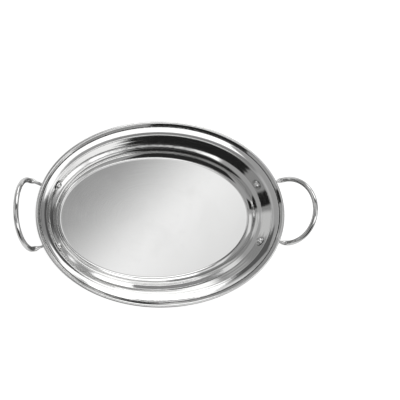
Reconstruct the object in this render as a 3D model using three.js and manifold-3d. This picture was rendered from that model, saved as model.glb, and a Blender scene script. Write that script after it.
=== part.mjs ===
// Oval serving tray of polished stainless steel, in millimetres, +Z up, +X along its long axis.
// One pressed pan stands on its flat floor at z = 0. Two wire handles are riveted to the outside
// of its end walls, pass under the rolled rim and rise above it.
import * as THREE from "three";
import { ParametricGeometry } from "three/addons/geometries/ParametricGeometry.js";
import { mergeVertices } from "three/addons/utils/BufferGeometryUtils.js";
import Module from "manifold-3d";

const wasm = await Module();
wasm.setup();

// ---- driving dimensions ----
const LENGTH = 260; // over the rim, without the handles
const WIDTH = 190; // over the rim
const HEIGHT = 34; // from the table to the top of the rim
const SHEET = 0.9; // thickness of the pressed sheet
const OVAL_POWER = 2.03; // 2 is a true ellipse, more is fuller at the corners
const SIDE_SHARE = 1.1; // a ring's inset at the long sides against its inset at the ends

const BEAD_RADIUS = 1.5; // outside radius of the rolled rim
const CURL_END = 285; // degrees round the bead, from straight inwards, where the sheet's cut edge is
const RIDGE_INSET = 12.2; // where the sloping flange turns down into the wall
const RIDGE_HEIGHT = 27.4;
const FLANGE_BEND = { inset: 8.2, height: 28.6, radius: 14 }; // the flange is slightly hollow
const VALLEY = { inset: 4.6, height: 30.7 }; // where the flange meets the slope up to the bead
const LEDGE_INSET = [17.6, 21.6]; // outer and inner edge of the stacking ledge
const LEDGE_HEIGHT = [13.0, 10.6];
const FOOT = { inset: 24.2, height: 3.55, radius: 15 }; // the lower wall is one wide hollow curve
const FLOOR_INSET = 30; // the crease round the flat floor

const WIRE_RADIUS = 2.6;
const LOOP_REACH = 154; // x of the wire's centre at the far end of a handle
const LOOP_TOP = 61; // z of the wire's centre there
const SHOULDER = { x: 129.5, z: 25 }; // where the round wire starts to be forged flat
const SHOULDER_TAPER = 0.6; // how much nearer the long axis the shoulder is than the loop
const RISE_RADIUS = 6; // bend from the level leg into the rising loop
const FORGE_LENGTH = 3.5; // over which the round wire turns into the strap
const STRAP_HALF_THICKNESS = 1.1;
const STRAP_HALF_HEIGHT = 4.0;
const PAD_RADIUS = 5.2; // round end of the strap, under the rivet
const PAD_TO_BEND = 6.3;
const PAD_BEND_SETBACK = 2.2; // how far before and after its corner the strap bends

// One riveted corner for each leg: the loop's half width there and the rivet's distance from the
// long axis. The loops are bent by hand, and the left one is wider at the back.
const CORNERS = [
  { name: "right_back", end: 1, side: 1, halfWidth: 33.3, rivetY: 29.8 },
  { name: "right_front", end: 1, side: -1, halfWidth: 33.3, rivetY: 29.8 },
  { name: "left_back", end: -1, side: 1, halfWidth: 37.5, rivetY: 33.4 },
  { name: "left_front", end: -1, side: -1, halfWidth: 31.4, rivetY: 29.2 },
];
const RIVET_Z = 19;
const SHANK_RADIUS = 1.9;
const HEAD_RADIUS = 5.2;
const DOME_RADIUS = 4.0;
const DOME_HEIGHT = 2.3;
const BRIM = 0.7;
const TAIL_RADIUS = 3.8;
const TAIL_HEIGHT = 1.5;
const GAP = 0.3; // clearance between pieces that touch
const HEAD_GAP = 0.5; // under the flat brim, which bridges the hollow side of the curved wall

const AROUND = 64; // steps round the oval
const ARC_STEP = 30; // degrees between points on a rounded corner
const CURL_STEPS = 9;
const WIRE_SIDES = 12;
const RIVET_SIDES = 20;

const degrees = THREE.MathUtils.degToRad;
const UP = new THREE.Vector3(0, 0, 1);

// ---- helpers ----

// The geometry as a manifold-3d solid, with shared vertices merged and collapsed triangles left out.
function solid(geometry) {
  const bare = geometry.clone().deleteAttribute("normal").deleteAttribute("uv");
  const merged = mergeVertices(bare, 1e-4);
  const index = merged.index.array;
  const kept = [];
  for (let i = 0; i < index.length; i += 3) {
    const [a, b, c] = index.subarray(i, i + 3);
    if (a !== b && b !== c && c !== a) kept.push(a, b, c);
  }
  const vertProperties = merged.attributes.position.array;
  return new wasm.Manifold(new wasm.Mesh({ numProp: 3, vertProperties, triVerts: new Uint32Array(kept) }));
}

// The solid's triangles as a three.js geometry.
function geometryOf(made) {
  const { vertProperties, triVerts } = made.getMesh();
  const geometry = new THREE.BufferGeometry();
  geometry.setAttribute("position", new THREE.BufferAttribute(vertProperties, 3));
  geometry.setIndex(new THREE.BufferAttribute(triVerts, 1));
  geometry.computeVertexNormals();
  return geometry;
}

// A power that keeps the sign, for superellipses.
const signedPower = (value, power) => Math.sign(value) * Math.abs(value) ** power;

// Points of a line whose corners, given as [x, y, radius], are rounded by arcs.
function roundedLine(corners) {
  return corners.flatMap(([x, y, radius], i) => {
    const corner = new THREE.Vector2(x, y);
    if (!radius) return [corner];
    const [back, ahead] = [corners[i - 1], corners[i + 1]].map(([nx, ny]) =>
      new THREE.Vector2(nx, ny).sub(corner).normalize());
    const half = Math.acos(back.dot(ahead)) / 2;
    const middle = back.clone().add(ahead).normalize();
    const centre = corner.clone().addScaledVector(middle, radius / Math.sin(half));
    const ends = [back, ahead].map((way) =>
      corner.clone().addScaledVector(way, radius / Math.tan(half)).sub(centre).angle());
    const turn = THREE.MathUtils.euclideanModulo(ends[1] - ends[0] + Math.PI, 2 * Math.PI) - Math.PI;
    const steps = Math.max(1, Math.ceil(Math.abs(turn) / degrees(ARC_STEP)));
    const arc = new THREE.EllipseCurve(centre.x, centre.y, radius, radius, ends[0], ends[0] + turn, turn < 0);
    return arc.getPoints(steps);
  });
}

// ---- pan ----

// Semi-axes of the oval ring that lies at a given inset from the rim. Inside the floor's edge the
// rings shrink evenly to the centre.
function ringAxes(inset) {
  const a = LENGTH / 2 - inset;
  if (inset <= FLOOR_INSET) return [a, WIDTH / 2 - SIDE_SHARE * inset];
  return [a, ((WIDTH / 2 - SIDE_SHARE * FLOOR_INSET) * a) / (LENGTH / 2 - FLOOR_INSET)];
}

function ringPoint(inset, z, angle, target) {
  const [a, b] = ringAxes(inset);
  const x = a * signedPower(Math.cos(angle), 2 / OVAL_POWER);
  const y = b * signedPower(Math.sin(angle), 2 / OVAL_POWER);
  return target.set(x, y, z);
}

// The middle line of the sheet in (inset, z), from the centre of the floor to the cut edge of the curl.
function sheetLine() {
  const bend = BEAD_RADIUS - SHEET / 2;
  const beadZ = HEIGHT - BEAD_RADIUS;
  const floor = SHEET / 2;
  // the slope up from the valley touches the bead at this angle
  const run = VALLEY.inset - BEAD_RADIUS;
  const rise = VALLEY.height - beadZ;
  const touch = Math.atan2(rise, run) + Math.acos(bend / Math.hypot(run, rise));
  const line = roundedLine([
    [LENGTH / 2, floor, 0],
    [FLOOR_INSET, floor, 0.8],
    [FOOT.inset, FOOT.height, FOOT.radius],
    [LEDGE_INSET[1], LEDGE_HEIGHT[1], 0.8],
    [LEDGE_INSET[0], LEDGE_HEIGHT[0], 1.2],
    [RIDGE_INSET, RIDGE_HEIGHT, 1.2],
    [FLANGE_BEND.inset, FLANGE_BEND.height, FLANGE_BEND.radius],
    [VALLEY.inset, VALLEY.height, 0],
  ]);
  const curl = new THREE.EllipseCurve(BEAD_RADIUS, beadZ, bend, bend, touch, degrees(CURL_END), false);
  return [...line, ...curl.getPoints(CURL_STEPS)];
}

// The closed section of the sheet: its lower face out to the cut edge, then its upper face back.
function sheetSection() {
  const line = sheetLine();
  const faces = [-1, 1].map((side) =>
    line.map((point, i) => {
      const before = line[Math.max(i - 1, 0)];
      const after = line[Math.min(i + 1, line.length - 1)];
      const along = after.clone().sub(before).normalize();
      const here = i === 0 ? along : point.clone().sub(before).normalize();
      const across = new THREE.Vector2(along.y, -along.x).multiplyScalar((side * SHEET) / 2);
      return point.clone().add(across.divideScalar(Math.max(along.dot(here), 0.8)));
    }));
  faces.forEach((face) => face[0].setX(LENGTH / 2));
  return [...faces[0], ...faces[1].reverse()];
}

// A closed surface through sections: at(k, u, target) gives the point at section k, u round it.
function loft(at, sections, sides) {
  const surface = (u, v, target) => {
    const place = THREE.MathUtils.clamp(v, 0, 1) * (sections - 1);
    const k = Math.min(Math.floor(place + 1e-9), sections - 2);
    const next = new THREE.Vector3();
    at(k, u, target);
    at(k + 1, u, next);
    target.lerp(next, place - k);
  };
  return new ParametricGeometry(surface, sides, sections - 1);
}

function panSolid() {
  const section = sheetSection();
  const at = (k, u, target) => ringPoint(section[k].x, section[k].y, 2 * Math.PI * (u % 1), target);
  return solid(loft(at, section.length, AROUND));
}

// ---- where the rivets go ----

// Turns a point or direction of the +X, +Y quarter into the corner's own quarter.
const toCorner = (vector, { end, side }) => vector.clone().multiply(new THREE.Vector3(end, side, 1));

// The middle of the end wall's sheet at a rivet, and the direction straight out of the wall there,
// both in the +X, +Y quarter.
function rivetSeat(rivetY) {
  const slope = (LEDGE_INSET[0] - RIDGE_INSET) / (RIDGE_HEIGHT - LEDGE_HEIGHT[0]);
  const [a, b] = ringAxes(RIDGE_INSET + slope * (RIDGE_HEIGHT - RIVET_Z));
  const yPart = (rivetY / b) ** OVAL_POWER;
  const xPart = 1 - yPart;
  const x = a * xPart ** (1 / OVAL_POWER);
  const down = -slope * (xPart / a + (SIDE_SHARE * yPart) / b);
  return {
    point: new THREE.Vector3(x, rivetY, RIVET_Z),
    outward: new THREE.Vector3(xPart / x, yPart / rivetY, down).normalize(),
  };
}

// A drill through the wall and the handle's pad at one corner.
function drill(corner) {
  const { point, outward } = rivetSeat(corner.rivetY);
  const radius = SHANK_RADIUS + GAP;
  const bit = new THREE.CylinderGeometry(radius, radius, 16, RIVET_SIDES);
  const way = toCorner(outward, corner);
  bit.applyQuaternion(new THREE.Quaternion().setFromUnitVectors(new THREE.Vector3(0, 1, 0), way));
  return solid(bit.translate(...toCorner(point, corner).toArray()));
}

// ---- handles ----

// A handle's side view: level at the shoulder, then bending up and rising straight to its far end.
function riseProfile() {
  const run = LOOP_REACH - SHOULDER.x;
  const rise = LOOP_TOP - SHOULDER.z;
  // the line from the bend's centre to the far end, and the tangent to the bend from there
  const reach = Math.hypot(run, rise - RISE_RADIUS);
  const angle = Math.atan2(rise - RISE_RADIUS, run) + Math.asin(RISE_RADIUS / reach);
  const bendRun = RISE_RADIUS * angle;
  const straight = Math.sqrt(reach ** 2 - RISE_RADIUS ** 2);
  const at = (length) => {
    const turned = Math.min(length, bendRun) / RISE_RADIUS;
    const rest = Math.max(length - bendRun, 0);
    return [
      SHOULDER.x + RISE_RADIUS * Math.sin(turned) + rest * Math.cos(angle),
      SHOULDER.z + RISE_RADIUS * (1 - Math.cos(turned)) + rest * Math.sin(angle),
    ];
  };
  return { at, bendRun, straight };
}

// Half of a handle, from the middle of its grip to the end of its pad, in the +X, +Y quarter.
// Each station has the wire's centre, how flat it is there (0 round, 1 strap), its half height, and
// how far it leans to lie on the wall.
function handleHalf({ halfWidth, rivetY }) {
  const { point, outward } = rivetSeat(rivetY);
  const side = riseProfile();
  const stations = [];
  const add = (centre, flat, halfHeight, lean) =>
    stations.push({ centre, flat, halfHeight, lean, outward });

  // the loop: half an ellipse laid on the rising stretch
  const loopSteps = 12;
  for (let i = 0; i < loopSteps; i++) {
    const angle = degrees((90 * i) / loopSteps);
    const [x, z] = side.at(side.bendRun + side.straight * Math.cos(angle));
    add(new THREE.Vector3(x, halfWidth * Math.sin(angle), z), 0, WIRE_RADIUS, 0);
  }
  // the bend just outside the rim
  const bendSteps = 4;
  for (let i = 0; i <= bendSteps; i++) {
    const part = i / bendSteps;
    const [x, z] = side.at(side.bendRun * (1 - part));
    add(new THREE.Vector3(x, halfWidth - SHOULDER_TAPER * part, z), 0, WIRE_RADIUS, 0);
  }
  // the strap on edge under the rim
  const shoulder = stations[stations.length - 1].centre;
  const away = new THREE.Vector3(-outward.y, outward.x, 0).normalize();
  const padOffset = SHEET / 2 + GAP + STRAP_HALF_THICKNESS;
  const pad = point.clone().addScaledVector(outward, padOffset);
  const corner = pad.clone().addScaledVector(away, -PAD_TO_BEND);
  const leg = corner.clone().sub(shoulder).normalize();
  const along = (length) => shoulder.clone().addScaledVector(leg, length);
  const bendStart = corner.clone().addScaledVector(leg, -PAD_BEND_SETBACK);
  add(along(FORGE_LENGTH / 2), 0.5, (WIRE_RADIUS + STRAP_HALF_HEIGHT) / 2, 0);
  add(along(FORGE_LENGTH), 1, STRAP_HALF_HEIGHT, 0);
  // the turn onto the wall, where the strap widens to the pad
  const bendEnd = corner.clone().addScaledVector(away, PAD_BEND_SETBACK);
  const turn = new THREE.QuadraticBezierCurve3(bendStart, corner, bendEnd);
  for (const part of [0, 0.25, 0.5, 0.75, 1]) {
    const halfHeight = THREE.MathUtils.lerp(STRAP_HALF_HEIGHT, PAD_RADIUS * 0.95, part);
    add(turn.getPoint(part), 1, halfHeight, part);
  }
  // the pad's round end, flat on the wall
  for (const angle of [90, 70, 50, 30, 15, 0].map(degrees)) {
    const centre = pad.clone().addScaledVector(away, PAD_RADIUS * Math.cos(angle));
    add(centre, 1, PAD_RADIUS * Math.sin(angle), 1);
  }
  return stations;
}

// The whole handle at one end of the tray, from its front pad to its back pad.
function handleSolid(end) {
  const [back, front] = [1, -1].map((side) =>
    CORNERS.find((corner) => corner.end === end && corner.side === side));
  const [backHalf, frontHalf] = [back, front].map((corner) =>
    handleHalf(corner).map((station) => ({
      ...station,
      centre: toCorner(station.centre, corner),
      outward: toCorner(station.outward, corner),
    })));
  const all = [...frontHalf.slice(1).reverse(), ...backHalf];
  const frames = all.map(({ outward, lean }, k) => {
    const before = all[Math.max(k - 1, 0)].centre;
    const after = all[Math.min(k + 1, all.length - 1)].centre;
    const along = after.clone().sub(before).normalize();
    const thin = UP.clone().cross(along).normalize();
    thin.lerp(outward.clone().multiplyScalar(Math.sign(outward.dot(thin))), lean);
    thin.addScaledVector(along, -thin.dot(along)).normalize();
    return { thin, tall: along.clone().cross(thin) };
  });
  const at = (k, u, target) => {
    const { centre, flat, halfHeight } = all[k];
    const { thin, tall } = frames[k];
    const angle = 2 * Math.PI * (u % 1);
    const power = THREE.MathUtils.lerp(1, 0.5, flat);
    const halfThickness = THREE.MathUtils.lerp(WIRE_RADIUS, STRAP_HALF_THICKNESS, flat);
    target.copy(centre)
      .addScaledVector(thin, halfThickness * signedPower(Math.cos(angle), power))
      .addScaledVector(tall, halfHeight * signedPower(Math.sin(angle), power));
  };
  const bar = solid(loft(at, all.length, WIRE_SIDES));
  return bar.subtract(drill(back)).subtract(drill(front));
}

// ---- rivets ----

// A rivet on its own axis (+Y is into the tray), with y = 0 at the middle of the wall's sheet:
// a brim and dome inside, the shank, and the hammered tail outside the handle's pad.
function rivetSolid() {
  const under = SHEET / 2 + HEAD_GAP;
  const seat = -(SHEET / 2 + GAP + 2 * STRAP_HALF_THICKNESS + GAP);
  const dome = (radius, height, foot, steps) =>
    Array.from({ length: steps + 1 }, (_, i) => {
      const angle = degrees((90 * i) / steps);
      return new THREE.Vector2(radius * Math.cos(angle), foot + height * Math.sin(angle));
    });
  const profile = [
    ...dome(TAIL_RADIUS, -TAIL_HEIGHT, seat, 4).reverse(),
    new THREE.Vector2(SHANK_RADIUS, seat),
    new THREE.Vector2(SHANK_RADIUS, under),
    new THREE.Vector2(HEAD_RADIUS, under),
    new THREE.Vector2(HEAD_RADIUS, under + BRIM / 2),
    new THREE.Vector2(HEAD_RADIUS - BRIM / 2, under + BRIM),
    ...dome(DOME_RADIUS, DOME_HEIGHT, under + BRIM, 5),
  ];
  profile[0].setX(0);
  profile[profile.length - 1].setX(0);
  return solid(new THREE.LatheGeometry(profile, RIVET_SIDES));
}

// ---- assembly ----

const panSteel = new THREE.MeshStandardMaterial({ color: 0xd6d6d6, metalness: 1, roughness: 0.12 });
const wireSteel = new THREE.MeshStandardMaterial({ color: 0xcfcfcf, metalness: 1, roughness: 0.16 });
const rivetSteel = new THREE.MeshStandardMaterial({ color: 0xdadada, metalness: 1, roughness: 0.14 });

const tray = new THREE.Group();
tray.name = "serving_tray";

function addMesh(name, geometry, material) {
  const mesh = new THREE.Mesh(geometry, material);
  mesh.name = name;
  tray.add(mesh);
  return mesh;
}

const drilledPan = CORNERS.reduce((made, corner) => made.subtract(drill(corner)), panSolid());
addMesh("pan", geometryOf(drilledPan), panSteel);
addMesh("handle_right", geometryOf(handleSolid(1)), wireSteel);
addMesh("handle_left", geometryOf(handleSolid(-1)), wireSteel);

const rivet = geometryOf(rivetSolid());
for (const corner of CORNERS) {
  const { point, outward } = rivetSeat(corner.rivetY);
  const mesh = addMesh(`rivet_${corner.name}`, rivet, rivetSteel);
  mesh.position.copy(toCorner(point, corner));
  const inward = toCorner(outward, corner).negate();
  mesh.quaternion.setFromUnitVectors(new THREE.Vector3(0, 1, 0), inward);
}

export default tray;
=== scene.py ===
# %% [markdown]
# # An oval serving tray in polished stainless steel
#
# The real tray is one sheet of steel, pressed into an oval pan with a stepped wall and rolled
# over at the rim, and two wire handles that are riveted to the outside of its end walls.
# Polished steel has almost no colour of its own. What the eye reads is the room in its surface,
# so this lesson spends its effort on three things: smooth surfaces whose curves are right, a
# studio that is worth reflecting, and the fine marks that polishing and use leave behind.
#
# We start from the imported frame. It holds every piece at its real size and place, in metres.

# %% Load the frame
import math

import bpy
import numpy as np
from mathutils import Matrix, Vector


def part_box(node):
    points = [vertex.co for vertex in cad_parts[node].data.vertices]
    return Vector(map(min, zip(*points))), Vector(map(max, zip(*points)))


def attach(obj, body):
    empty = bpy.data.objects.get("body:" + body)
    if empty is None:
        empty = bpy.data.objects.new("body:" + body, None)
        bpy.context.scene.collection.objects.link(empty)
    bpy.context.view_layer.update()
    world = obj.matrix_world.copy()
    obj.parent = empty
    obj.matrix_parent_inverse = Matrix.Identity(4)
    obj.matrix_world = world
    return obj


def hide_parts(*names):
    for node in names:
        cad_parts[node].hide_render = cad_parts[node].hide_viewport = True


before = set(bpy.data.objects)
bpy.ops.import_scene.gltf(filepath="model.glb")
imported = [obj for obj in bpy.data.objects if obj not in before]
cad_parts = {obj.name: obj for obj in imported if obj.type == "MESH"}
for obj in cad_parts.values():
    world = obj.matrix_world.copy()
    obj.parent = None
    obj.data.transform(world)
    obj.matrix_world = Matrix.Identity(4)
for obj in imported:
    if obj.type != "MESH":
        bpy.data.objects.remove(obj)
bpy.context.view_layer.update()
MM = 0.001
print("pieces in the frame:", ", ".join(sorted(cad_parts)))

# %% [markdown]
# ## The camera
#
# A product shot of a tray is taken from high above and a little to one side, with a long lens,
# so that the oval keeps its shape and the walls still show their depth. We give the camera's
# place, the point it looks at and how far it is rolled, and build its matrix from these. A
# camera looks along its own minus Z axis, with Y as its up direction.

# %% Place the camera
CAMERA_PLACE = Vector((-0.391, -0.177, 1.534))
CAMERA_AIM = Vector((0.0396, 0.0130, 0.034))
CAMERA_ROLL = 0.059
CAMERA_LENS = 138.8


def aimed_matrix(place, aim, roll):
    """The matrix of something at place whose minus Z axis points at aim. Its up direction is the
    world's Y axis, turned by roll towards X."""
    back = (place - aim).normalized()
    right = Vector((math.sin(roll), math.cos(roll), 0.0)).cross(back).normalized()
    up = back.cross(right)
    turn = Matrix((right, up, back)).transposed().to_4x4()
    return Matrix.Translation(place) @ turn


camera_data = bpy.data.cameras.new("camera")
camera_data.lens = CAMERA_LENS
camera_data.clip_end = 50
camera = bpy.data.objects.new("camera", camera_data)
camera.matrix_world = aimed_matrix(CAMERA_PLACE, CAMERA_AIM, CAMERA_ROLL)
bpy.context.scene.collection.objects.link(camera)
bpy.context.scene.camera = camera
print("camera distance:", round((CAMERA_PLACE - CAMERA_AIM).length, 3), "m")

# %% [markdown]
# ## From a grid of points to a piece
#
# Each piece of this tray is a skin wrapped round a path: the pan's section goes round the oval,
# a wire's round section goes along its bends, and a rivet's outline goes round its axis. All
# three are a grid of points whose columns close on themselves and whose first and last rows
# shrink to one point, a pole. One helper turns such a grid into a mesh, with whole arrays
# of indices and no loop over the vertices.
#
# It also stores a vector on every point, named grain. The finishes read it to lay their polish
# lines along the surface, which plain coordinates can't do on a curved piece.

# %% Helper: a closed skin with a pole at each end


def closed_skin(name, rows, poles, grain, pole_grain):
    """A mesh object from rows of points. rows is (rows, columns, 3), poles is (2, 3): vertex
    number = 1 + row * columns + column, with the poles first and last. Quads join each row to the
    next and triangles join the end rows to their poles."""
    n_rows, n_cols, _ = rows.shape
    points = np.vstack([poles[:1], rows.reshape(-1, 3), poles[1:]])
    last = len(points) - 1
    col = np.arange(n_cols)
    nxt = (col + 1) % n_cols
    row = 1 + n_cols * np.arange(n_rows - 1)[:, None]
    quads = np.stack([row + col, row + nxt, row + n_cols + nxt, row + n_cols + col], axis=-1)
    first_fan = np.stack([np.zeros_like(col), 1 + nxt, 1 + col], axis=-1)
    end_row = 1 + n_cols * (n_rows - 1)
    last_fan = np.stack([np.full_like(col, last), end_row + col, end_row + nxt], axis=-1)
    corners = np.concatenate([first_fan.ravel(), quads.ravel(), last_fan.ravel()])
    sizes = np.concatenate([np.full(n_cols, 3), np.full(quads.size // 4, 4), np.full(n_cols, 3)])
    mesh = bpy.data.meshes.new(name)
    mesh.vertices.add(len(points))
    mesh.vertices.foreach_set("co", points.ravel())
    mesh.loops.add(len(corners))
    mesh.loops.foreach_set("vertex_index", corners.astype(np.int32))
    mesh.polygons.add(len(sizes))
    mesh.polygons.foreach_set("loop_start", (np.cumsum(sizes) - sizes).astype(np.int32))
    mesh.polygons.foreach_set("use_smooth", np.ones(len(sizes), dtype=bool))
    mesh.update(calc_edges=True)
    layer = mesh.attributes.new("grain", "FLOAT_VECTOR", "POINT")
    values = np.vstack([pole_grain[:1], grain.reshape(-1, 3), pole_grain[1:]])
    layer.data.foreach_set("vector", values.ravel())
    piece = bpy.data.objects.new(name, mesh)
    bpy.context.scene.collection.objects.link(piece)
    print(f"{name}: {len(points)} points, {len(sizes)} faces")
    return piece


# %% [markdown]
# ## The pan's section
#
# The press bends flat sheet over round tool edges, so the section is a line of straight
# stretches joined by arcs. We write only the corners and their radii, and a helper rounds them.
# Working in inset from the rim and height from the table keeps the numbers readable: the wall
# goes in as it goes down, over a stacking ledge, and then in one wide hollow curve to a crease
# round the flat floor. At the top the flange rises to a steep lip, which rolls over into a bead.

# %% Helper: a line with rounded corners


def rounded_line(corners, spacing):
    """Points along straight lines whose corners are arcs. Each corner is (x, y, radius). An arc of
    radius r that touches both lines starts r / tan(half the angle between them) from the corner,
    and its centre is r / sin(half) away along the bisector."""
    corners = np.asarray(corners, dtype=float)
    stops = [corners[:1, :2]]
    for back, here, ahead in zip(corners[:-2], corners[1:-1], corners[2:]):
        ways = np.array([back[:2] - here[:2], ahead[:2] - here[:2]])
        ways /= np.linalg.norm(ways, axis=1)[:, None]
        half = np.arccos(np.clip(ways[0] @ ways[1], -1, 1)) / 2
        middle = ways.sum(axis=0)
        centre = here[:2] + here[2] / np.sin(half) * middle / np.linalg.norm(middle)
        ends = here[:2] + ways * here[2] / np.tan(half) - centre
        angles = np.arctan2(ends[:, 1], ends[:, 0])
        turn = (angles[1] - angles[0] + np.pi) % (2 * np.pi) - np.pi
        steps = max(4, int(np.ceil(abs(turn) / np.radians(6))))
        sweep = angles[0] + turn * np.linspace(0, 1, steps + 1)
        stops.append(centre + here[2] * np.stack([np.cos(sweep), np.sin(sweep)], axis=-1))
    stops.append(corners[-1:, :2])
    line = np.vstack(stops)
    pieces = [line[:1]]
    for start, end in zip(line[:-1], line[1:]):
        count = max(1, int(np.ceil(np.linalg.norm(end - start) / spacing)))
        pieces.append(start + (end - start) * (np.arange(1, count + 1) / count)[:, None])
    return np.vstack(pieces)


# %% Trace the sheet's middle line
pan_low, pan_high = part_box("pan")
HALF_LENGTH = (pan_high[0] - pan_low[0]) / 2
HALF_WIDTH = (pan_high[1] - pan_low[1]) / 2
HEIGHT = pan_high[2] - pan_low[2]
SHEET = 0.9 * MM
BEAD_RADIUS = 1.5 * MM
CURL_END = math.radians(285)
FLOOR_INSET = 30 * MM
SIDE_SHARE = 1.1
OVAL_SWELL = 0.005

bend = BEAD_RADIUS - SHEET / 2
bead_height = HEIGHT - BEAD_RADIUS
valley = (4.6 * MM, HEIGHT - 3.3 * MM)
run, rise = valley[0] - BEAD_RADIUS, valley[1] - bead_height
touch = math.atan2(rise, run) + math.acos(bend / math.hypot(run, rise))
touch_point = (BEAD_RADIUS + bend * math.cos(touch), bead_height + bend * math.sin(touch))
wall_line = rounded_line([
    (FLOOR_INSET + 8 * MM, SHEET / 2, 0),
    (FLOOR_INSET, SHEET / 2, 4.5 * MM),
    (24.2 * MM, 3.55 * MM, 15 * MM),
    (21.6 * MM, 10.6 * MM, 0.8 * MM),
    (17.6 * MM, 13.0 * MM, 1.2 * MM),
    (12.2 * MM, 27.4 * MM, 1.2 * MM),
    (8.2 * MM, 28.6 * MM, 14 * MM),
    (*valley, 0.4 * MM),
    (*touch_point, 0),
], spacing=0.9 * MM)
curl_angle = np.linspace(touch, CURL_END, 40)[1:]
curl = np.stack([BEAD_RADIUS + bend * np.cos(curl_angle),
                 bead_height + bend * np.sin(curl_angle)], axis=-1)
floor_rings = np.linspace(HALF_LENGTH, FLOOR_INSET + 8 * MM, 14)[1:-1]
floor_line = np.stack([floor_rings, np.full_like(floor_rings, SHEET / 2)], axis=-1)
middle_line = np.vstack([floor_line, wall_line, curl])
print("points along the sheet:", len(middle_line))

# %% [markdown]
# ## The pan
#
# The sheet's two faces are the middle line moved half a thickness to each side, joined by a
# rounded cut edge inside the curl. Every point of that closed section then travels round an
# oval ring: x = a cos t, y = b sin t, where the half axes a and b shrink with the point's inset,
# and a little faster on the long sides. A real tray isn't a perfect ellipse, so each ring swells
# by half a percent between its four ends. Drawing steel over a punch also leaves it faintly
# wavy. That is far too little to see as shape, but it is what makes the reflections in the wall
# tremble, so it belongs in the surface and not in the colour.

# %% Build the pan


def sheet_section(line, thickness, edge_steps):
    """The closed outline of a sheet with this middle line: line - n t/2 out to the cut edge, a half
    circle of radius t/2 round it, and line + n t/2 back, where n is the line's left-hand normal."""
    along = np.gradient(line, axis=0)
    along /= np.linalg.norm(along, axis=1)[:, None]
    normal = np.stack([along[:, 1], -along[:, 0]], axis=-1)
    turn = np.linspace(0, np.pi, edge_steps)[1:-1, None]
    edge = line[-1] + thickness / 2 * (np.sin(turn) * along[-1] - np.cos(turn) * normal[-1])
    return np.vstack([line - normal * thickness / 2, edge, (line + normal * thickness / 2)[::-1]])


def oval_rings(inset, height, angle):
    """Rings round the tray: a = half length - inset, b = half width - share * inset, shrinking
    evenly to the centre inside the floor's edge, and a swell of (1 + s sin(2t)^2)."""
    inset, height = inset[:, None], height[:, None]
    a = HALF_LENGTH - inset
    floor_b = (HALF_WIDTH - SIDE_SHARE * FLOOR_INSET) * a / (HALF_LENGTH - FLOOR_INSET)
    b = np.where(inset <= FLOOR_INSET, HALF_WIDTH - SIDE_SHARE * inset, floor_b)
    swell = 1 + OVAL_SWELL * np.sin(2 * angle) ** 2
    x = a * np.cos(angle) * swell
    y = b * np.sin(angle) * swell
    return np.stack([x, y, np.broadcast_to(height, x.shape)], axis=-1)


def draw_ripple(angle, height):
    """How far the drawn wall stands in or out: a sum of slow waves round the oval, each drifting
    with height, strongest halfway up the wall and nothing at the floor and the rim."""
    level = np.clip((height[:, None] - 2 * MM) / (25 * MM), 0, 1)
    waves = sum(size * np.sin(count * angle + phase + drift * level)
                for size, count, phase, drift in
                [(0.030, 9, 0.4, 1.1), (0.022, 17, 2.2, -1.7), (0.014, 29, 4.0, 2.4),
                 (0.007, 47, 1.3, -3.0)])
    return waves * np.sin(np.pi * level) * MM


def press_rings(travel):
    """How far the sheet stands in or out in rings that follow the oval: a sum of two waves along the
    section, which grow from nothing over the first stretch past the floor's edge."""
    risen = np.clip((travel - HALF_LENGTH + FLOOR_INSET - 6 * MM) / (8 * MM), 0, 1)
    waves = 0.010 * np.sin(travel / (0.64 * MM)) + 0.018 * np.sin(travel / (1.03 * MM) + 1.0)
    return waves * risen * MM


PAN_COLUMNS = 300
section = sheet_section(middle_line, SHEET, 7)
angle = 2 * np.pi * np.arange(PAN_COLUMNS) / PAN_COLUMNS
inset, height = section.T
pan_rows = oval_rings(inset, height, angle)
steps = np.linalg.norm(np.diff(section, axis=0), axis=1)
along_section = np.concatenate([[0], np.cumsum(steps)])
from_middle = np.minimum(along_section, along_section[-1] - along_section)
ripple = draw_ripple(angle, height) + press_rings(from_middle)[:, None]
pan_rows[..., 0] += ripple * np.cos(angle)
pan_rows[..., 1] += ripple * np.sin(angle)
travel = along_section[:, None] + 0 * angle
girth = 0.11
pan_grain = np.stack([girth * np.cos(angle) + 0 * travel, girth * np.sin(angle) + 0 * travel, travel],
                     axis=-1)
pan_poles = np.array([[0, 0, 0], [0, 0, SHEET]])
pan = closed_skin("pan_polished", pan_rows, pan_poles, pan_grain, pan_grain[[0, -1], 0])

# %% [markdown]
# ## The handles
#
# A handle is one length of wire. It is forged flat at both ends, and each flat end stands on
# edge under the rim, turns along the wall and is riveted there. Outside the rim the wire bends
# up and makes a loop: half an ellipse laid on a slope.
#
# We lay out stations along the wire's centre line. Each has the section's half thickness, half
# height and squareness, and how far it leans to lie on the wall. Between the stations everything
# is interpolated smoothly, so the forged shoulders flow as they do in real wire. The section is
# a superellipse: (|cos t|^p, |sin t|^p) is a circle with p = 1 and a rounded bar with p = 0.5.

# %% Side view of a handle
WIRE_RADIUS = 2.6 * MM
STRAP_HALF_THICKNESS = 1.1 * MM
STRAP_HALF_HEIGHT = 4.0 * MM
PAD_RADIUS = 5.2 * MM
PAD_TO_BEND = 6.3 * MM
PAD_BEND_SETBACK = 2.2 * MM
FORGE_LENGTH = 3.5 * MM
RISE_RADIUS = 6 * MM
SHOULDER_X = 129.5 * MM
SHOULDER_Z = 25 * MM
SHOULDER_TAPER = 0.6 * MM
GAP = 0.3 * MM

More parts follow.
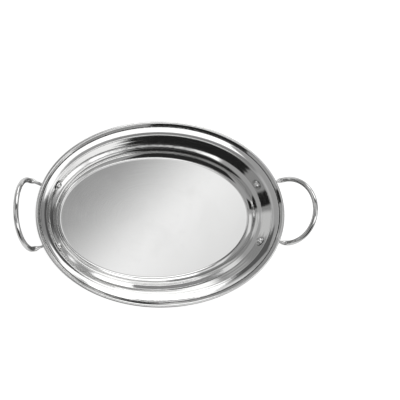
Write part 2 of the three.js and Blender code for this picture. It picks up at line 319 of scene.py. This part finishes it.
LOOP_TOP = 61 * MM
LOOP_REACH = 154 * MM
rise = LOOP_TOP - SHOULDER_Z - RISE_RADIUS
reach = math.hypot(LOOP_REACH - SHOULDER_X, rise)
rise_angle = math.atan2(rise, LOOP_REACH - SHOULDER_X) + math.asin(RISE_RADIUS / reach)
bend_run = RISE_RADIUS * rise_angle
straight_run = math.sqrt(reach ** 2 - RISE_RADIUS ** 2)


def side_view(length):
    """Distance along the side view to (x, z): an arc of radius r up to the rise angle, then a
    straight line at that angle."""
    turned = np.minimum(length, bend_run) / RISE_RADIUS
    rest = np.maximum(length - bend_run, 0)
    x = SHOULDER_X + RISE_RADIUS * np.sin(turned) + rest * math.cos(rise_angle)
    z = SHOULDER_Z + RISE_RADIUS * (1 - np.cos(turned)) + rest * math.sin(rise_angle)
    return x, z


# %% [markdown]
# Each leg ends at a rivet, so we need the wall's surface there. The frame knows where the rivets
# are, and the pan's own formula gives the direction out of the wall.

# %% Where the rivets sit
CORNERS = {
    "right_back": {"end": 1, "side": 1, "half_width": 33.3 * MM, "rivet_y": 29.8 * MM},
    "right_front": {"end": 1, "side": -1, "half_width": 33.3 * MM, "rivet_y": 29.8 * MM},
    "left_back": {"end": -1, "side": 1, "half_width": 37.5 * MM, "rivet_y": 33.4 * MM},
    "left_front": {"end": -1, "side": -1, "half_width": 31.4 * MM, "rivet_y": 29.2 * MM},
}
RIVET_Z = 19 * MM
WALL_SLOPE = (17.6 - 12.2) / (27.4 - 13.0)


def rivet_seat(rivet_y):
    """The middle of the wall's sheet and the direction out of it, for a rivet this far from the
    long axis. The wall there is the ring (x/a)^2 + (y/b)^2 = 1, whose half axes grow with height,
    so the direction out is (x/a^2, y/b^2, -slope (x^2/a^3 + share y^2/b^3))."""
    ring_inset = 12.2 * MM + WALL_SLOPE * (27.4 * MM - RIVET_Z)
    a = HALF_LENGTH - ring_inset
    b = HALF_WIDTH - SIDE_SHARE * ring_inset
    y_part = (rivet_y / b) ** 2
    swell = 1 + OVAL_SWELL * 4 * y_part * (1 - y_part)
    y_part = (rivet_y / b / swell) ** 2
    x = a * math.sqrt(1 - y_part) * swell
    down = -WALL_SLOPE * ((1 - y_part) / a + SIDE_SHARE * y_part / b)
    out = np.array([(1 - y_part) / x, y_part / rivet_y, down])
    return np.array([x, rivet_y, RIVET_Z]), out / np.linalg.norm(out)


for corner_name, corner in CORNERS.items():
    seat, _ = rivet_seat(corner["rivet_y"])
    low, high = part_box("rivet_" + corner_name)
    middle = [(l + h) / 2 for l, h in zip(low, high)]
    print(corner_name, "seat", np.round(seat / MM, 1), "frame", np.round(np.array(middle) / MM, 1))

# %% [markdown]
# ## A wire bent along a path
#
# The stations are worked out for one leg at a time, from the middle of the grip to its rivet, and
# each leg is then put in its own corner. The two legs are joined, and a soft blur along the wire
# rounds the joints between the stretches, because cold steel wire never bends on a point.
# The tip of each flat end is round. Its rings shrink as a superellipsoid, so that its edge has
# the same small rounding as the long edges.

# %% Helpers: stations along a leg
UP = np.array([0.0, 0.0, 1.0])
STATION = 0.4 * MM


def unit(vectors):
    """The vectors at length one."""
    return vectors / np.linalg.norm(vectors, axis=-1, keepdims=True)


def leg_line(half_width, rivet_y):
    """The wire's centre line from mid grip to the rivet, and its distances along to the shoulder,
    to both ends of the turn onto the wall and to the rivet. The loop is x, z on the side view at
    cos t and y = w sin t, and the turn is a quadratic curve (1-s)^2 p + 2s(1-s) q + s^2 r."""
    seat, out = rivet_seat(rivet_y)
    turn = np.linspace(0, np.pi / 2, 90)[:, None]
    x, z = side_view(bend_run + straight_run * np.cos(turn))
    loop = np.hstack([x, half_width * np.sin(turn), z])
    part = np.linspace(0, 1, 20)[1:, None]
    x, z = side_view(bend_run * (1 - part))
    bend_up = np.hstack([x, half_width - SHOULDER_TAPER * part, z])
    shoulder = bend_up[-1]
    away = unit(np.array([-out[1], out[0], 0]))
    pad = seat + out * (SHEET / 2 + GAP + STRAP_HALF_THICKNESS)
    corner_point = pad - away * PAD_TO_BEND
    strap_way = unit(corner_point - shoulder)
    turn_start = corner_point - strap_way * PAD_BEND_SETBACK
    turn_end = corner_point + away * PAD_BEND_SETBACK
    s = np.linspace(0, 1, 12)[:, None]
    turn_in = (1 - s) ** 2 * turn_start + 2 * s * (1 - s) * corner_point + s ** 2 * turn_end
    line = np.vstack([loop, bend_up, turn_in, pad])
    travel = np.concatenate([[0], np.cumsum(np.linalg.norm(np.diff(line, axis=0), axis=1))])
    marks = travel[[len(loop) + len(bend_up) - 1, len(loop) + len(bend_up), -2, -1]]
    return line, travel, marks, out, away


def leg_stations(corner):
    """Evenly spaced stations of one leg in its own corner: centre, flatness, half height and lean."""
    line, travel, marks, out, away = leg_line(corner["half_width"], corner["rivet_y"])
    shoulder_at, turn_at, wall_at, rivet_at = marks
    at = np.linspace(0, rivet_at, int(rivet_at / STATION))
    centre = np.stack([np.interp(at, travel, line[:, k]) for k in range(3)], axis=-1)
    forged_at = shoulder_at + FORGE_LENGTH
    flat = np.interp(at, [shoulder_at, forged_at], [0, 1])
    tall = np.interp(at, [shoulder_at, forged_at, turn_at, wall_at, rivet_at],
                     [WIRE_RADIUS, STRAP_HALF_HEIGHT, STRAP_HALF_HEIGHT, 0.95 * PAD_RADIUS, PAD_RADIUS])
    lean = np.interp(at, [turn_at, wall_at], [0, 1])
    flip = np.array([corner["end"], corner["side"], 1])
    return {"centre": centre * flip, "flat": flat, "tall": tall, "lean": lean,
            "out": out * flip, "away": away * flip}


def blurred(values, width):
    """Values smoothed along the stations by a bell curve exp(-d^2 / 2 w^2), with w in stations.
    Past the ends the values go on in a straight line, so the ends stay where they are."""
    reach_out = int(3 * width)
    offsets = np.arange(-reach_out, reach_out + 1)
    weights = np.exp(-offsets ** 2 / (2 * width ** 2))
    weights /= weights.sum()
    before = 2 * values[:1] - values[reach_out:0:-1]
    after = 2 * values[-1:] - values[-2:-reach_out - 2:-1]
    long = np.concatenate([before, values, after])
    columns = long.reshape(len(long), -1)
    smooth = np.stack([np.convolve(c, weights, mode="valid") for c in columns.T], axis=-1)
    return smooth.reshape(values.shape)


# %% Build the handles
WIRE_SIDES = 28
TIP_RINGS = 9


def signed_power(value, power):
    """|value| to the power, with value's sign: the step from a circle to a superellipse."""
    return np.sign(value) * np.abs(value) ** power


def build_handle(name, front, back):
    """The handle from its front tip to its back tip. A ring's points are centre + half thickness
    * cos(t)^p * thin + half height * sin(t)^p * tall, and p goes from 1 to 0.5 as it flattens.
    Thin is level, across the wire, and leans to the wall's own direction on the flat ends."""
    legs = [leg_stations(front), leg_stations(back)]
    joined = {key: np.concatenate([legs[0][key][:0:-1], legs[1][key]])
              for key in ["centre", "flat", "tall", "lean"]}
    centre = blurred(joined["centre"], 3.2)
    flat = blurred(joined["flat"], 2.2)
    half_height = blurred(joined["tall"], 2.2)
    lean = blurred(joined["lean"], 2.0)[:, None]
    count = len(centre)
    first_leg = np.arange(count)[:, None] < len(legs[0]["flat"])
    out = np.where(first_leg, legs[0]["out"], legs[1]["out"])
    along = unit(np.gradient(centre, axis=0))
    thin = unit(np.cross(UP, along))
    side_sign = np.sign((out * thin).sum(axis=1, keepdims=True))
    thin = thin * (1 - lean) + out * side_sign * lean
    thin = unit(thin - along * (thin * along).sum(axis=1, keepdims=True))
    tall = np.cross(along, thin)
    half_thickness = WIRE_RADIUS + (STRAP_HALF_THICKNESS - WIRE_RADIUS) * flat
    # each tip: rings at distance R cos(f) past the rivet, R sin(f) tall
    fade = np.linspace(np.pi / 2, 0.12, TIP_RINGS + 1)[1:]
    ahead = PAD_RADIUS * np.cos(fade)[:, None]
    tip_tall = PAD_RADIUS * np.sin(fade)
    tip_thin = STRAP_HALF_THICKNESS * (1 - np.cos(fade) ** 4) ** 0.25
    start, end = (centre[0] + legs[0]["away"] * ahead)[::-1], centre[-1] + legs[1]["away"] * ahead
    centre = np.vstack([start, centre, end])
    repeat = np.concatenate([np.zeros(TIP_RINGS, int), np.arange(count), np.full(TIP_RINGS, count - 1)])
    thin, tall, flat = thin[repeat], tall[repeat], flat[repeat]
    half_thickness = np.concatenate([tip_thin[::-1], half_thickness, tip_thin])
    half_height = np.concatenate([tip_tall[::-1], half_height, tip_tall])

    t = 2 * np.pi * np.arange(WIRE_SIDES) / WIRE_SIDES
    power = (1 - 0.5 * flat)[:, None]
    across = (half_thickness[:, None] * signed_power(np.cos(t), power))[..., None] * thin[:, None]
    upright = (half_height[:, None] * signed_power(np.sin(t), power))[..., None] * tall[:, None]
    rows = centre[:, None] + across + upright
    poles = np.array([centre[TIP_RINGS] + legs[0]["away"] * PAD_RADIUS,
                      centre[-1 - TIP_RINGS] + legs[1]["away"] * PAD_RADIUS])
    travel = (STATION * np.arange(len(centre)))[:, None] + 0 * t
    grain = np.stack([WIRE_RADIUS * np.cos(t) + 0 * travel, WIRE_RADIUS * np.sin(t) + 0 * travel,
                      travel], axis=-1)
    return closed_skin(name, rows, poles, grain, grain[[0, -1], 0])


handles = {
    end: build_handle("handle_wire_" + end, CORNERS[end + "_front"], CORNERS[end + "_back"])
    for end in ["right", "left"]
}

# %% [markdown]
# ## The rivets
#
# A rivet is turned, so its outline goes round an axis: a hammered tail outside, the shank through
# the handle and the wall, and inside a rounded brim, a groove and a small dome. The outline reuses the
# rounded-corner helper. The axis is the wall's own direction at the seat, and two more directions
# square to it carry the outline round. The tail is a shade off round, as hammering leaves it.

# %% Build the rivets
HEAD_GAP = 0.5 * MM
SHANK_RADIUS = 1.9 * MM
HEAD_RADIUS = 5.2 * MM
BRIM = 0.7 * MM
DOME_RADIUS = 3.6 * MM
DOME_HEIGHT = 2.8 * MM
TAIL_RADIUS = 3.8 * MM
TAIL_HEIGHT = 1.5 * MM
RIVET_COLUMNS = 56


def rivet_outline():
    """(radius, height) from the tail's top to the dome's top, with 0 at the middle of the wall's
    sheet. Both domes are quarter ellipses (r cos f, h sin f)."""
    under = SHEET / 2 + HEAD_GAP
    brim_top = under + BRIM
    seat = -(SHEET / 2 + GAP + 2 * STRAP_HALF_THICKNESS + GAP)
    rise_up = np.radians(np.linspace(88, 14, 14))[:, None]
    tail = np.hstack([TAIL_RADIUS * np.cos(rise_up), seat - TAIL_HEIGHT * np.sin(rise_up)])
    body = rounded_line([
        (TAIL_RADIUS, seat - 0.2 * MM, 0),
        (TAIL_RADIUS, seat, 0.15 * MM),
        (SHANK_RADIUS, seat, 0.1 * MM),
        (SHANK_RADIUS, under, 0.1 * MM),
        (HEAD_RADIUS, under, 0.15 * MM),
        (HEAD_RADIUS, brim_top - 0.35 * MM, 0.25 * MM),
        (HEAD_RADIUS - 0.7 * MM, brim_top + 0.3 * MM, 0.45 * MM),
        (DOME_RADIUS + 0.15 * MM, brim_top - 0.2 * MM, 0.12 * MM),
        (DOME_RADIUS * math.cos(0.3), brim_top + DOME_HEIGHT * math.sin(0.3), 0),
    ], spacing=0.5 * MM)
    rise_in = np.linspace(0.38, 1.54, 16)[:, None]
    dome = np.hstack([DOME_RADIUS * np.cos(rise_in), brim_top + DOME_HEIGHT * np.sin(rise_in)])
    return np.vstack([tail, body, dome])


def build_rivet(corner_name, corner, phase):
    """The outline carried round the axis: seat + r cos(t) e + r sin(t) f + h axis. Each hammer blow
    on the tail moves r by a few hundredths, as a slow wave of t."""
    seat, out = rivet_seat(corner["rivet_y"])
    flip = np.array([corner["end"], corner["side"], 1])
    seat, axis = seat * flip, -out * flip
    e = unit(np.cross(UP, axis))
    f = np.cross(axis, e)
    radius, height = rivet_outline().T
    t = 2 * np.pi * np.arange(RIVET_COLUMNS) / RIVET_COLUMNS
    tail_part = np.clip((-height - 3 * MM) / MM, 0, 1)[:, None]
    uneven = 1 + 0.035 * tail_part * (np.sin(3 * t + phase) + 0.6 * np.sin(5 * t + 2 * phase))
    r = (radius[:, None] * uneven)[..., None]
    level = (height[:, None] + 0 * t)[..., None]
    rows = seat + r * (np.cos(t)[:, None] * e + np.sin(t)[:, None] * f) + level * axis
    poles = seat + np.array([[height[0]], [height[-1]]]) * axis
    steps = np.linalg.norm(np.diff(rivet_outline(), axis=0), axis=1)
    travel = np.concatenate([[0], np.cumsum(steps)])[:, None] + 0 * t
    grain = np.stack([4 * MM * np.cos(t) + 0 * travel, 4 * MM * np.sin(t) + 0 * travel, travel], axis=-1)
    return closed_skin("rivet_turned_" + corner_name, rows, poles, grain, grain[[0, -1], 0])


rivets = {name: build_rivet(name, corner, 1.7 * number)
          for number, (name, corner) in enumerate(CORNERS.items())}

# %% [markdown]
# ## Nodes without the clutter
#
# A material is a small graph. One helper makes a node, sets its properties and fills or links
# its inputs, so a graph can be read from top to bottom like a recipe.

# %% Helpers: nodes, groups and materials


def add(tree, kind, inputs=None, **settings):
    """A new node. Inputs are given by name or number, as a value or as another node's output."""
    made = tree.nodes.new(kind)
    for name, value in settings.items():
        setattr(made, name, value)
    for name, value in (inputs or {}).items():
        if isinstance(value, bpy.types.NodeSocket):
            tree.links.new(value, made.inputs[name])
        else:
            made.inputs[name].default_value = value
    return made


def new_group(name, inputs, outputs):
    """An empty node group with its sockets, given as {name: (type, default)} and {name: type}, and
    its input and output nodes."""
    tree = bpy.data.node_groups.new(name, "ShaderNodeTree")
    for socket, (kind, default) in inputs.items():
        made = tree.interface.new_socket(socket, in_out="INPUT", socket_type=kind)
        if default is not None:
            made.default_value = default
    for socket, kind in outputs.items():
        tree.interface.new_socket(socket, in_out="OUTPUT", socket_type=kind)
    return tree, tree.nodes.new("NodeGroupInput"), tree.nodes.new("NodeGroupOutput")


def math_node(tree, operation, *values):
    """The output of a Math node with these values or links."""
    return add(tree, "ShaderNodeMath", dict(enumerate(values)), operation=operation).outputs[0]


def spread(tree, value, low, high, to_low=0.0, to_high=1.0, smooth=False):
    """Value taken from the range low..high to the range to_low..to_high, and held at its ends."""
    kind = "SMOOTHSTEP" if smooth else "LINEAR"
    inputs = {"Value": value, "From Min": low, "From Max": high, "To Min": to_low, "To Max": to_high}
    return add(tree, "ShaderNodeMapRange", inputs, interpolation_type=kind).outputs["Result"]


FLOAT, VECTOR = "NodeSocketFloat", "NodeSocketVector"

# %% [markdown]
# ## Marks that all three finishes share
#
# **Polish lines** are what a buffing wheel leaves. They are noise on the grain vector, squeezed
# hard across the lines and stretched along them.
#
# **Hairlines** are the short, straight scratches of use. A noise stretched into long threads is
# cut where it crosses one value, which leaves thin lines, and a patchy mask breaks them up. Three
# turned copies cross each other.
#
# **Handling haze** is the thin film that fingers and cloths leave. It doesn't colour steel, it
# only makes it a little less sharp in soft-edged patches.

# %% Node group: polish lines
polish_lines, group_in, group_out = new_group(
    "polish lines", {"Grain": (VECTOR, None), "Stretch": (VECTOR, (1, 1, 1))}, {"Lines": FLOAT})
squeezed = add(polish_lines, "ShaderNodeVectorMath", {0: group_in.outputs["Grain"],
                                                      1: group_in.outputs["Stretch"]},
               operation="MULTIPLY").outputs[0]
fine = add(polish_lines, "ShaderNodeTexNoise", {"Vector": squeezed, "Scale": 1.0, "Detail": 4.0,
                                                "Roughness": 0.65}).outputs["Fac"]
polish_lines.links.new(spread(polish_lines, fine, 0.3, 0.7), group_out.inputs["Lines"])
print("group:", polish_lines.name)

# %% Node group: hairlines
hairlines, group_in, group_out = new_group(
    "hairlines", {"Place": (VECTOR, None), "Amount": (FLOAT, 0.5)}, {"Scratch": FLOAT})
marks = []
for turned, thread in [(0.35, 1.0), (1.45, 0.8), (2.6, 1.25)]:
    spun = add(hairlines, "ShaderNodeVectorRotate", {"Vector": group_in.outputs["Place"],
                                                     "Angle": turned, "Axis": (0.1, 0.15, 1.0)})
    threads = add(hairlines, "ShaderNodeMapping", {"Vector": spun.outputs[0],
                                                   "Scale": (22 * thread, 520 * thread, 520 * thread)})
    value = add(hairlines, "ShaderNodeTexNoise", {"Vector": threads.outputs[0], "Scale": 1.0,
                                                  "Detail": 1.0}).outputs["Fac"]
    away_from_line = math_node(hairlines, "ABSOLUTE", math_node(hairlines, "SUBTRACT", value, 0.5))
    thin_line = spread(hairlines, away_from_line, 0.0, 0.012, 1.0, 0.0)
    patch = add(hairlines, "ShaderNodeTexNoise", {"Vector": spun.outputs[0], "Scale": 70 * thread,
                                                  "Detail": 1.0}).outputs["Fac"]
    kept = spread(hairlines, patch, 0.52, 0.62)
    marks.append(math_node(hairlines, "MULTIPLY", thin_line, kept))
crossed = math_node(hairlines, "MAXIMUM", math_node(hairlines, "MAXIMUM", marks[0], marks[1]), marks[2])
scratch = math_node(hairlines, "MULTIPLY", crossed, group_in.outputs["Amount"])
hairlines.links.new(scratch, group_out.inputs["Scratch"])
print("group:", hairlines.name)

# %% Node group: handling haze
handling_haze, group_in, group_out = new_group(
    "handling haze", {"Place": (VECTOR, None), "Size": (FLOAT, 30.0)}, {"Haze": FLOAT})
swirl = add(handling_haze, "ShaderNodeTexNoise", {"Vector": group_in.outputs["Place"],
                                                  "Scale": group_in.outputs["Size"], "Detail": 3.0,
                                                  "Distortion": 0.6}).outputs["Fac"]
handling_haze.links.new(spread(handling_haze, swirl, 0.42, 0.68, smooth=True), group_out.inputs["Haze"])
print("group:", handling_haze.name)

# %% [markdown]
# ## The steels
#
# All three pieces are the same stainless steel, and what sets them apart is how each was made. The
# pressed sheet is mirror polished, with lines that follow the oval. It is a little hazier where it
# stands and where trays rub in a stack. The drawn wire keeps faint lines along its length, and the
# rivets keep turning rings on the head and soft dents on the tail.
#
# The marks reach the shader in three ways: a bump that bends the reflections, a change in
# roughness, and a very slight change of tone.

# %% Helper: a steel finish


def steel(name, tone, sharpness, stretch, line_depth, haze_size, scratches, dents, wear=None):
    """A polished stainless steel. Tone is its reflectance, sharpness its roughness, stretch the
    scale of its polish lines on the grain vector and line_depth their depth in metres. Dents is
    (scale, depth in metres) of slow marks of hammer and press, which stay off the flat floor, and
    wear gives a mask from the height z."""
    material = bpy.data.materials.new(name)
    material.use_nodes = True
    tree = material.node_tree
    shader = tree.nodes["Principled BSDF"]
    shader.inputs["Metallic"].default_value = 1.0
    place = add(tree, "ShaderNodeTexCoord").outputs["Object"]
    grain = add(tree, "ShaderNodeAttribute", attribute_name="grain").outputs["Vector"]

    lines = add(tree, "ShaderNodeGroup", node_tree=polish_lines)
    tree.links.new(grain, lines.inputs["Grain"])
    lines.inputs["Stretch"].default_value = stretch
    scratch = add(tree, "ShaderNodeGroup", node_tree=hairlines)
    tree.links.new(place, scratch.inputs["Place"])
    haze = add(tree, "ShaderNodeGroup", node_tree=handling_haze)
    tree.links.new(place, haze.inputs["Place"])
    haze.inputs["Size"].default_value = haze_size

    height_of = add(tree, "ShaderNodeSeparateXYZ", {0: place}).outputs["Z"]
    worn = 0.0
    if wear:
        worn = math_node(tree, "MAXIMUM", *[spread(tree, height_of, *ends) for ends in wear])
        tree.links.new(math_node(tree, "MULTIPLY_ADD", worn, 1 - scratches, scratches),
                       scratch.inputs["Amount"])
    else:
        scratch.inputs["Amount"].default_value = scratches
    line_out, scratch_out, haze_out = (n.outputs[0] for n in (lines, scratch, haze))

    rough = math_node(tree, "MULTIPLY_ADD", haze_out, 0.02, sharpness)
    rough = math_node(tree, "MULTIPLY_ADD", line_out, 0.02, rough)
    rough = math_node(tree, "MULTIPLY_ADD", scratch_out, 0.12, rough)
    rough = math_node(tree, "MULTIPLY_ADD", worn, 0.06, rough)
    tree.links.new(rough, shader.inputs["Roughness"])

    duller = math_node(tree, "MULTIPLY_ADD", scratch_out, 0.35, math_node(tree, "MULTIPLY", haze_out, 0.06))
    colour = add(tree, "ShaderNodeMix", {"Factor": duller, 6: (tone, tone, tone * 0.995, 1),
                                         7: (tone * 0.86, tone * 0.86, tone * 0.85, 1)},
                 data_type="RGBA").outputs[2]
    tree.links.new(colour, shader.inputs["Base Color"])

    bump = add(tree, "ShaderNodeBump", {"Height": line_out, "Distance": line_depth, "Strength": 1.0})
    bump = add(tree, "ShaderNodeBump", {"Height": scratch_out, "Distance": 1.5e-6, "Strength": 1.0,
                                        "Normal": bump.outputs[0]}, invert=True)
    soft = add(tree, "ShaderNodeTexNoise", {"Vector": place, "Scale": dents[0], "Detail": 1.0})
    dented = math_node(tree, "MULTIPLY", soft.outputs["Fac"], spread(tree, height_of, 0.003, 0.012))
    bump = add(tree, "ShaderNodeBump", {"Height": dented, "Distance": dents[1], "Strength": 1.0,
                                        "Normal": bump.outputs[0]})
    tree.links.new(bump.outputs[0], shader.inputs["Normal"])
    print("finish:", name, "with", len(tree.nodes), "nodes")
    return material


# %% Make the three finishes
pressed_sheet = steel("mirror polished sheet", 0.72, 0.045, (12, 12, 900), 1.5e-6, 28, 0.35,
                      (330, 1.6e-5), wear=[(0.0004, 0.0002), (0.0330, 0.0338)])
drawn_wire = steel("drawn and polished wire", 0.68, 0.09, (2400, 2400, 30), 1.2e-6, 60, 0.5,
                   (120, 2e-5))
turned_rivet = steel("turned rivet steel", 0.72, 0.07, (60, 60, 5200), 4e-7, 110, 0.4,
                     (420, 3e-5))

# %% Put each piece in its place
for piece, node, finish, slot_name in [
    (pan, "pan", pressed_sheet, "pan_steel"),
    (handles["right"], "handle_right", drawn_wire, "wire_steel"),
    (handles["left"], "handle_left", drawn_wire, "wire_steel"),
    *[(rivets[name], "rivet_" + name, turned_rivet, "rivet_steel") for name in CORNERS],
]:
    piece.data.materials.append(finish)
    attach(piece, "root")
    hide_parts(node)

# %% [markdown]
# ## The studio
#
# Nothing shows on a mirror but what stands round it. A photographer lights such a piece with big
# soft cards, and leaves dark gaps between them so that the edges read. We paint those cards
# straight into the world, on a flat map of the dome overhead: a direction (x, y, z) goes to
# (x, y) / (1 + z), which is 0 straight up and 1 at the horizon. A card is a soft-edged rectangle
# on that map. The camera itself sees only plain white behind the tray.

# %% Node group: a soft card on the dome
soft_card, group_in, group_out = new_group(
    "soft card",
    {"Dome": (VECTOR, None), "Behind": (FLOAT, 0.0), "Centre": (VECTOR, (0, 0, 0)),
     "Half Size": (VECTOR, (1, 1, 1)), "Soft Edge": (FLOAT, 0.1), "Light": (FLOAT, 1.0)},
    {"Light": FLOAT})
given = group_in.outputs
from_centre = add(soft_card, "ShaderNodeVectorMath", {0: given["Dome"], 1: given["Centre"]},
                  operation="SUBTRACT").outputs[0]
distance = add(soft_card, "ShaderNodeVectorMath", {0: from_centre}, operation="ABSOLUTE").outputs[0]
past_edge = add(soft_card, "ShaderNodeVectorMath", {0: distance, 1: given["Half Size"]},
                operation="SUBTRACT").outputs[0]
past = add(soft_card, "ShaderNodeSeparateXYZ", {0: past_edge})
half_edge = math_node(soft_card, "MULTIPLY", given["Soft Edge"], 0.5)
inner_edge = math_node(soft_card, "MULTIPLY", half_edge, -1.0)
covered = [spread(soft_card, past.outputs[axis], inner_edge, half_edge, 1.0, 0.0, smooth=True)
           for axis in "XY"]
cover = math_node(soft_card, "MULTIPLY", *covered)
lit = add(soft_card, "ShaderNodeMix", {0: cover, 2: given["Behind"], 3: given["Light"]},
          data_type="FLOAT").outputs[0]
soft_card.links.new(lit, group_out.inputs["Light"])
print("group:", soft_card.name)

# %% Build the world
world = bpy.data.worlds.new("studio")
bpy.context.scene.world = world
world.use_nodes = True
sky = world.node_tree
sky.nodes.clear()
direction = add(sky, "ShaderNodeTexCoord").outputs["Generated"]
parts = add(sky, "ShaderNodeSeparateXYZ", {0: direction}).outputs
below_top = math_node(sky, "ADD", math_node(sky, "MAXIMUM", parts["Z"], -0.5), 1.0)
dome_x = math_node(sky, "DIVIDE", parts["X"], below_top)
dome_y = math_node(sky, "DIVIDE", parts["Y"], below_top)
dome = add(sky, "ShaderNodeCombineXYZ", {0: dome_x, 1: dome_y}).outputs[0]

# Over the tray: a slanting glow, from a grey gap up to a bright ridge and a little down again.
# It shows in the flat floor.
slant = math_node(sky, "MULTIPLY_ADD", dome_y, -1.05, dome_x)
glow = math_node(sky, "SUBTRACT", spread(sky, slant, 0.030, 0.0745, 0.40, 1.20, smooth=True),
                 spread(sky, slant, 0.0735, 0.105, 0.0, 0.24))
walls = spread(sky, parts["Z"], 0.05, 0.5, 0.34, 0.42, smooth=True)

CARDS = [
    # name, centre, half size, soft edge, light (None is the glow)
    ("pale round the glow", (0.10, 0.12), (0.20, 0.20), 0.14, 0.80),
    ("glow over the tray", (0.13, 0.06), (0.07, 0.06), 0.05, None),
    ("far dark", (-0.06, -0.73), (0.31, 0.30), 0.04, 0.025),
    ("strip before the far card", (0.06, -0.15), (0.13, 0.045), 0.05, 0.28),
    ("far card", (0.15, -0.322), (0.24, 0.102), 0.03, 1.60),
    ("right far card", (0.48, -0.22), (0.15, 0.17), 0.08, 1.50),
    ("gap before the near card", (0.16, 0.22), (0.24, 0.06), 0.05, 0.10),
    ("near card", (0.22, 0.615), (0.20, 0.325), 0.06, 1.90),
    ("near card's wing", (-0.08, 0.62), (0.10, 0.14), 0.08, 0.95),
    ("bar across the near card", (0.10, 0.58), (0.16, 0.035), 0.02, 0.28),
    ("near side card", (0.48, 0.37), (0.09, 0.12), 0.05, 1.45),
    ("dark by the left end", (0.38, 0.09), (0.07, 0.11), 0.05, 0.10),
    ("grey by the left end", (0.58, 0.09), (0.14, 0.13), 0.05, 0.30),
    ("dark post", (0.74, 0.12), (0.035, 0.25), 0.04, 0.08),
    ("dark gap", (-0.11, 0.26), (0.14, 0.11), 0.05, 0.12),
    ("left side card", (-0.54, 0.26), (0.13, 0.20), 0.08, 0.95),
    ("dark side card", (-0.72, -0.13), (0.20, 0.10), 0.04, 0.02),
]
light = walls
for name, centre, half_size, soft_edge, strength in CARDS:
    card = add(sky, "ShaderNodeGroup", node_tree=soft_card, label=name)
    sky.links.new(dome, card.inputs["Dome"])
    sky.links.new(light, card.inputs["Behind"])
    card.inputs["Centre"].default_value = (*centre, 0)
    card.inputs["Half Size"].default_value = (*half_size, 1)
    card.inputs["Soft Edge"].default_value = soft_edge
    if strength is None:
        sky.links.new(glow, card.inputs["Light"])
    else:
        card.inputs["Light"].default_value = strength
    light = card.outputs["Light"]

seen = add(sky, "ShaderNodeLightPath").outputs["Is Camera Ray"]
final = add(sky, "ShaderNodeMix", {0: seen, 2: light, 3: 1.0}, data_type="FLOAT").outputs[0]
background = add(sky, "ShaderNodeBackground", {"Color": (1, 1, 1, 1), "Strength": final})
add(sky, "ShaderNodeOutputWorld", {"Surface": background.outputs[0]})
bpy.context.scene.view_settings.view_transform = "Standard"
print("cards in the studio:", len(CARDS))

# %% [markdown]
# ## The floor
#
# The tray stands on white paper. The paper gives off a little light of its own, which stands for
# # the lamps that a photographer puts behind it, so it stays near white and the shadow under the
# # tray stays soft and faint. That glow is even only to the camera. To every other ray it is painted
# # light: none at the tray's foot, a painted contact shadow that the steel's walls reflect, brightest
# # a little way out, and a painted fall of light far away.

# %% Lay the floor
FLOOR_HALF = 8.0
paper_mesh = bpy.data.meshes.new("paper_floor")
corner_points = FLOOR_HALF * np.array([[-1, -1, 0], [1, -1, 0], [1, 1, 0], [-1, 1, 0]], dtype=float)
corner_points[:, 2] = -0.1 * MM
paper_mesh.from_pydata(corner_points.tolist(), [], [(0, 1, 2, 3)])
paper_floor = bpy.data.objects.new("paper_floor", paper_mesh)
bpy.context.scene.collection.objects.link(paper_floor)
paper = bpy.data.materials.new("white paper")
paper.use_nodes = True
paper_shader = paper.node_tree.nodes["Principled BSDF"]
paper_shader.inputs["Base Color"].default_value = (0.38, 0.38, 0.38, 1)
paper_shader.inputs["Roughness"].default_value = 0.9
paper_shader.inputs["Specular IOR Level"].default_value = 0.1
paper_shader.inputs["Emission Color"].default_value = (1, 1, 1, 1)
paper_seen = add(paper.node_tree, "ShaderNodeLightPath").outputs["Is Camera Ray"]
paper_place = add(paper.node_tree, "ShaderNodeTexCoord").outputs["Object"]
round_tray = add(paper.node_tree, "ShaderNodeMapping",
                 {"Vector": paper_place, "Scale": (1 / HALF_LENGTH, 1 / HALF_WIDTH, 0)}).outputs[0]
off_tray = add(paper.node_tree, "ShaderNodeVectorMath", {0: round_tray}, operation="LENGTH").outputs[1]
# painted shade: the glow seen in reflections is zero at the tray's foot, a painted contact shadow, and
# rises outwards
glow_past_painted_shadow = spread(paper.node_tree, off_tray, 0.84, 1.3, 0.0, 0.62, smooth=True)
# painted fall of light: far from the tray the reflected glow dims again
painted_far_falloff = spread(paper.node_tree, off_tray, 1.6, 5.0, 0.0, 0.45)
painted_reflected_light = math_node(paper.node_tree, "SUBTRACT", glow_past_painted_shadow, painted_far_falloff)
# camera rays see an even glow; every other ray sees the painted shade and light above
paper_glow_and_painted_shade = math_node(paper.node_tree, "MAXIMUM", painted_reflected_light,
                       math_node(paper.node_tree, "MULTIPLY", paper_seen, 0.88))
paper.node_tree.links.new(paper_glow_and_painted_shade, paper_shader.inputs["Emission Strength"])
paper_mesh.materials.append(paper)
print("floor:", 2 * FLOOR_HALF, "m square")
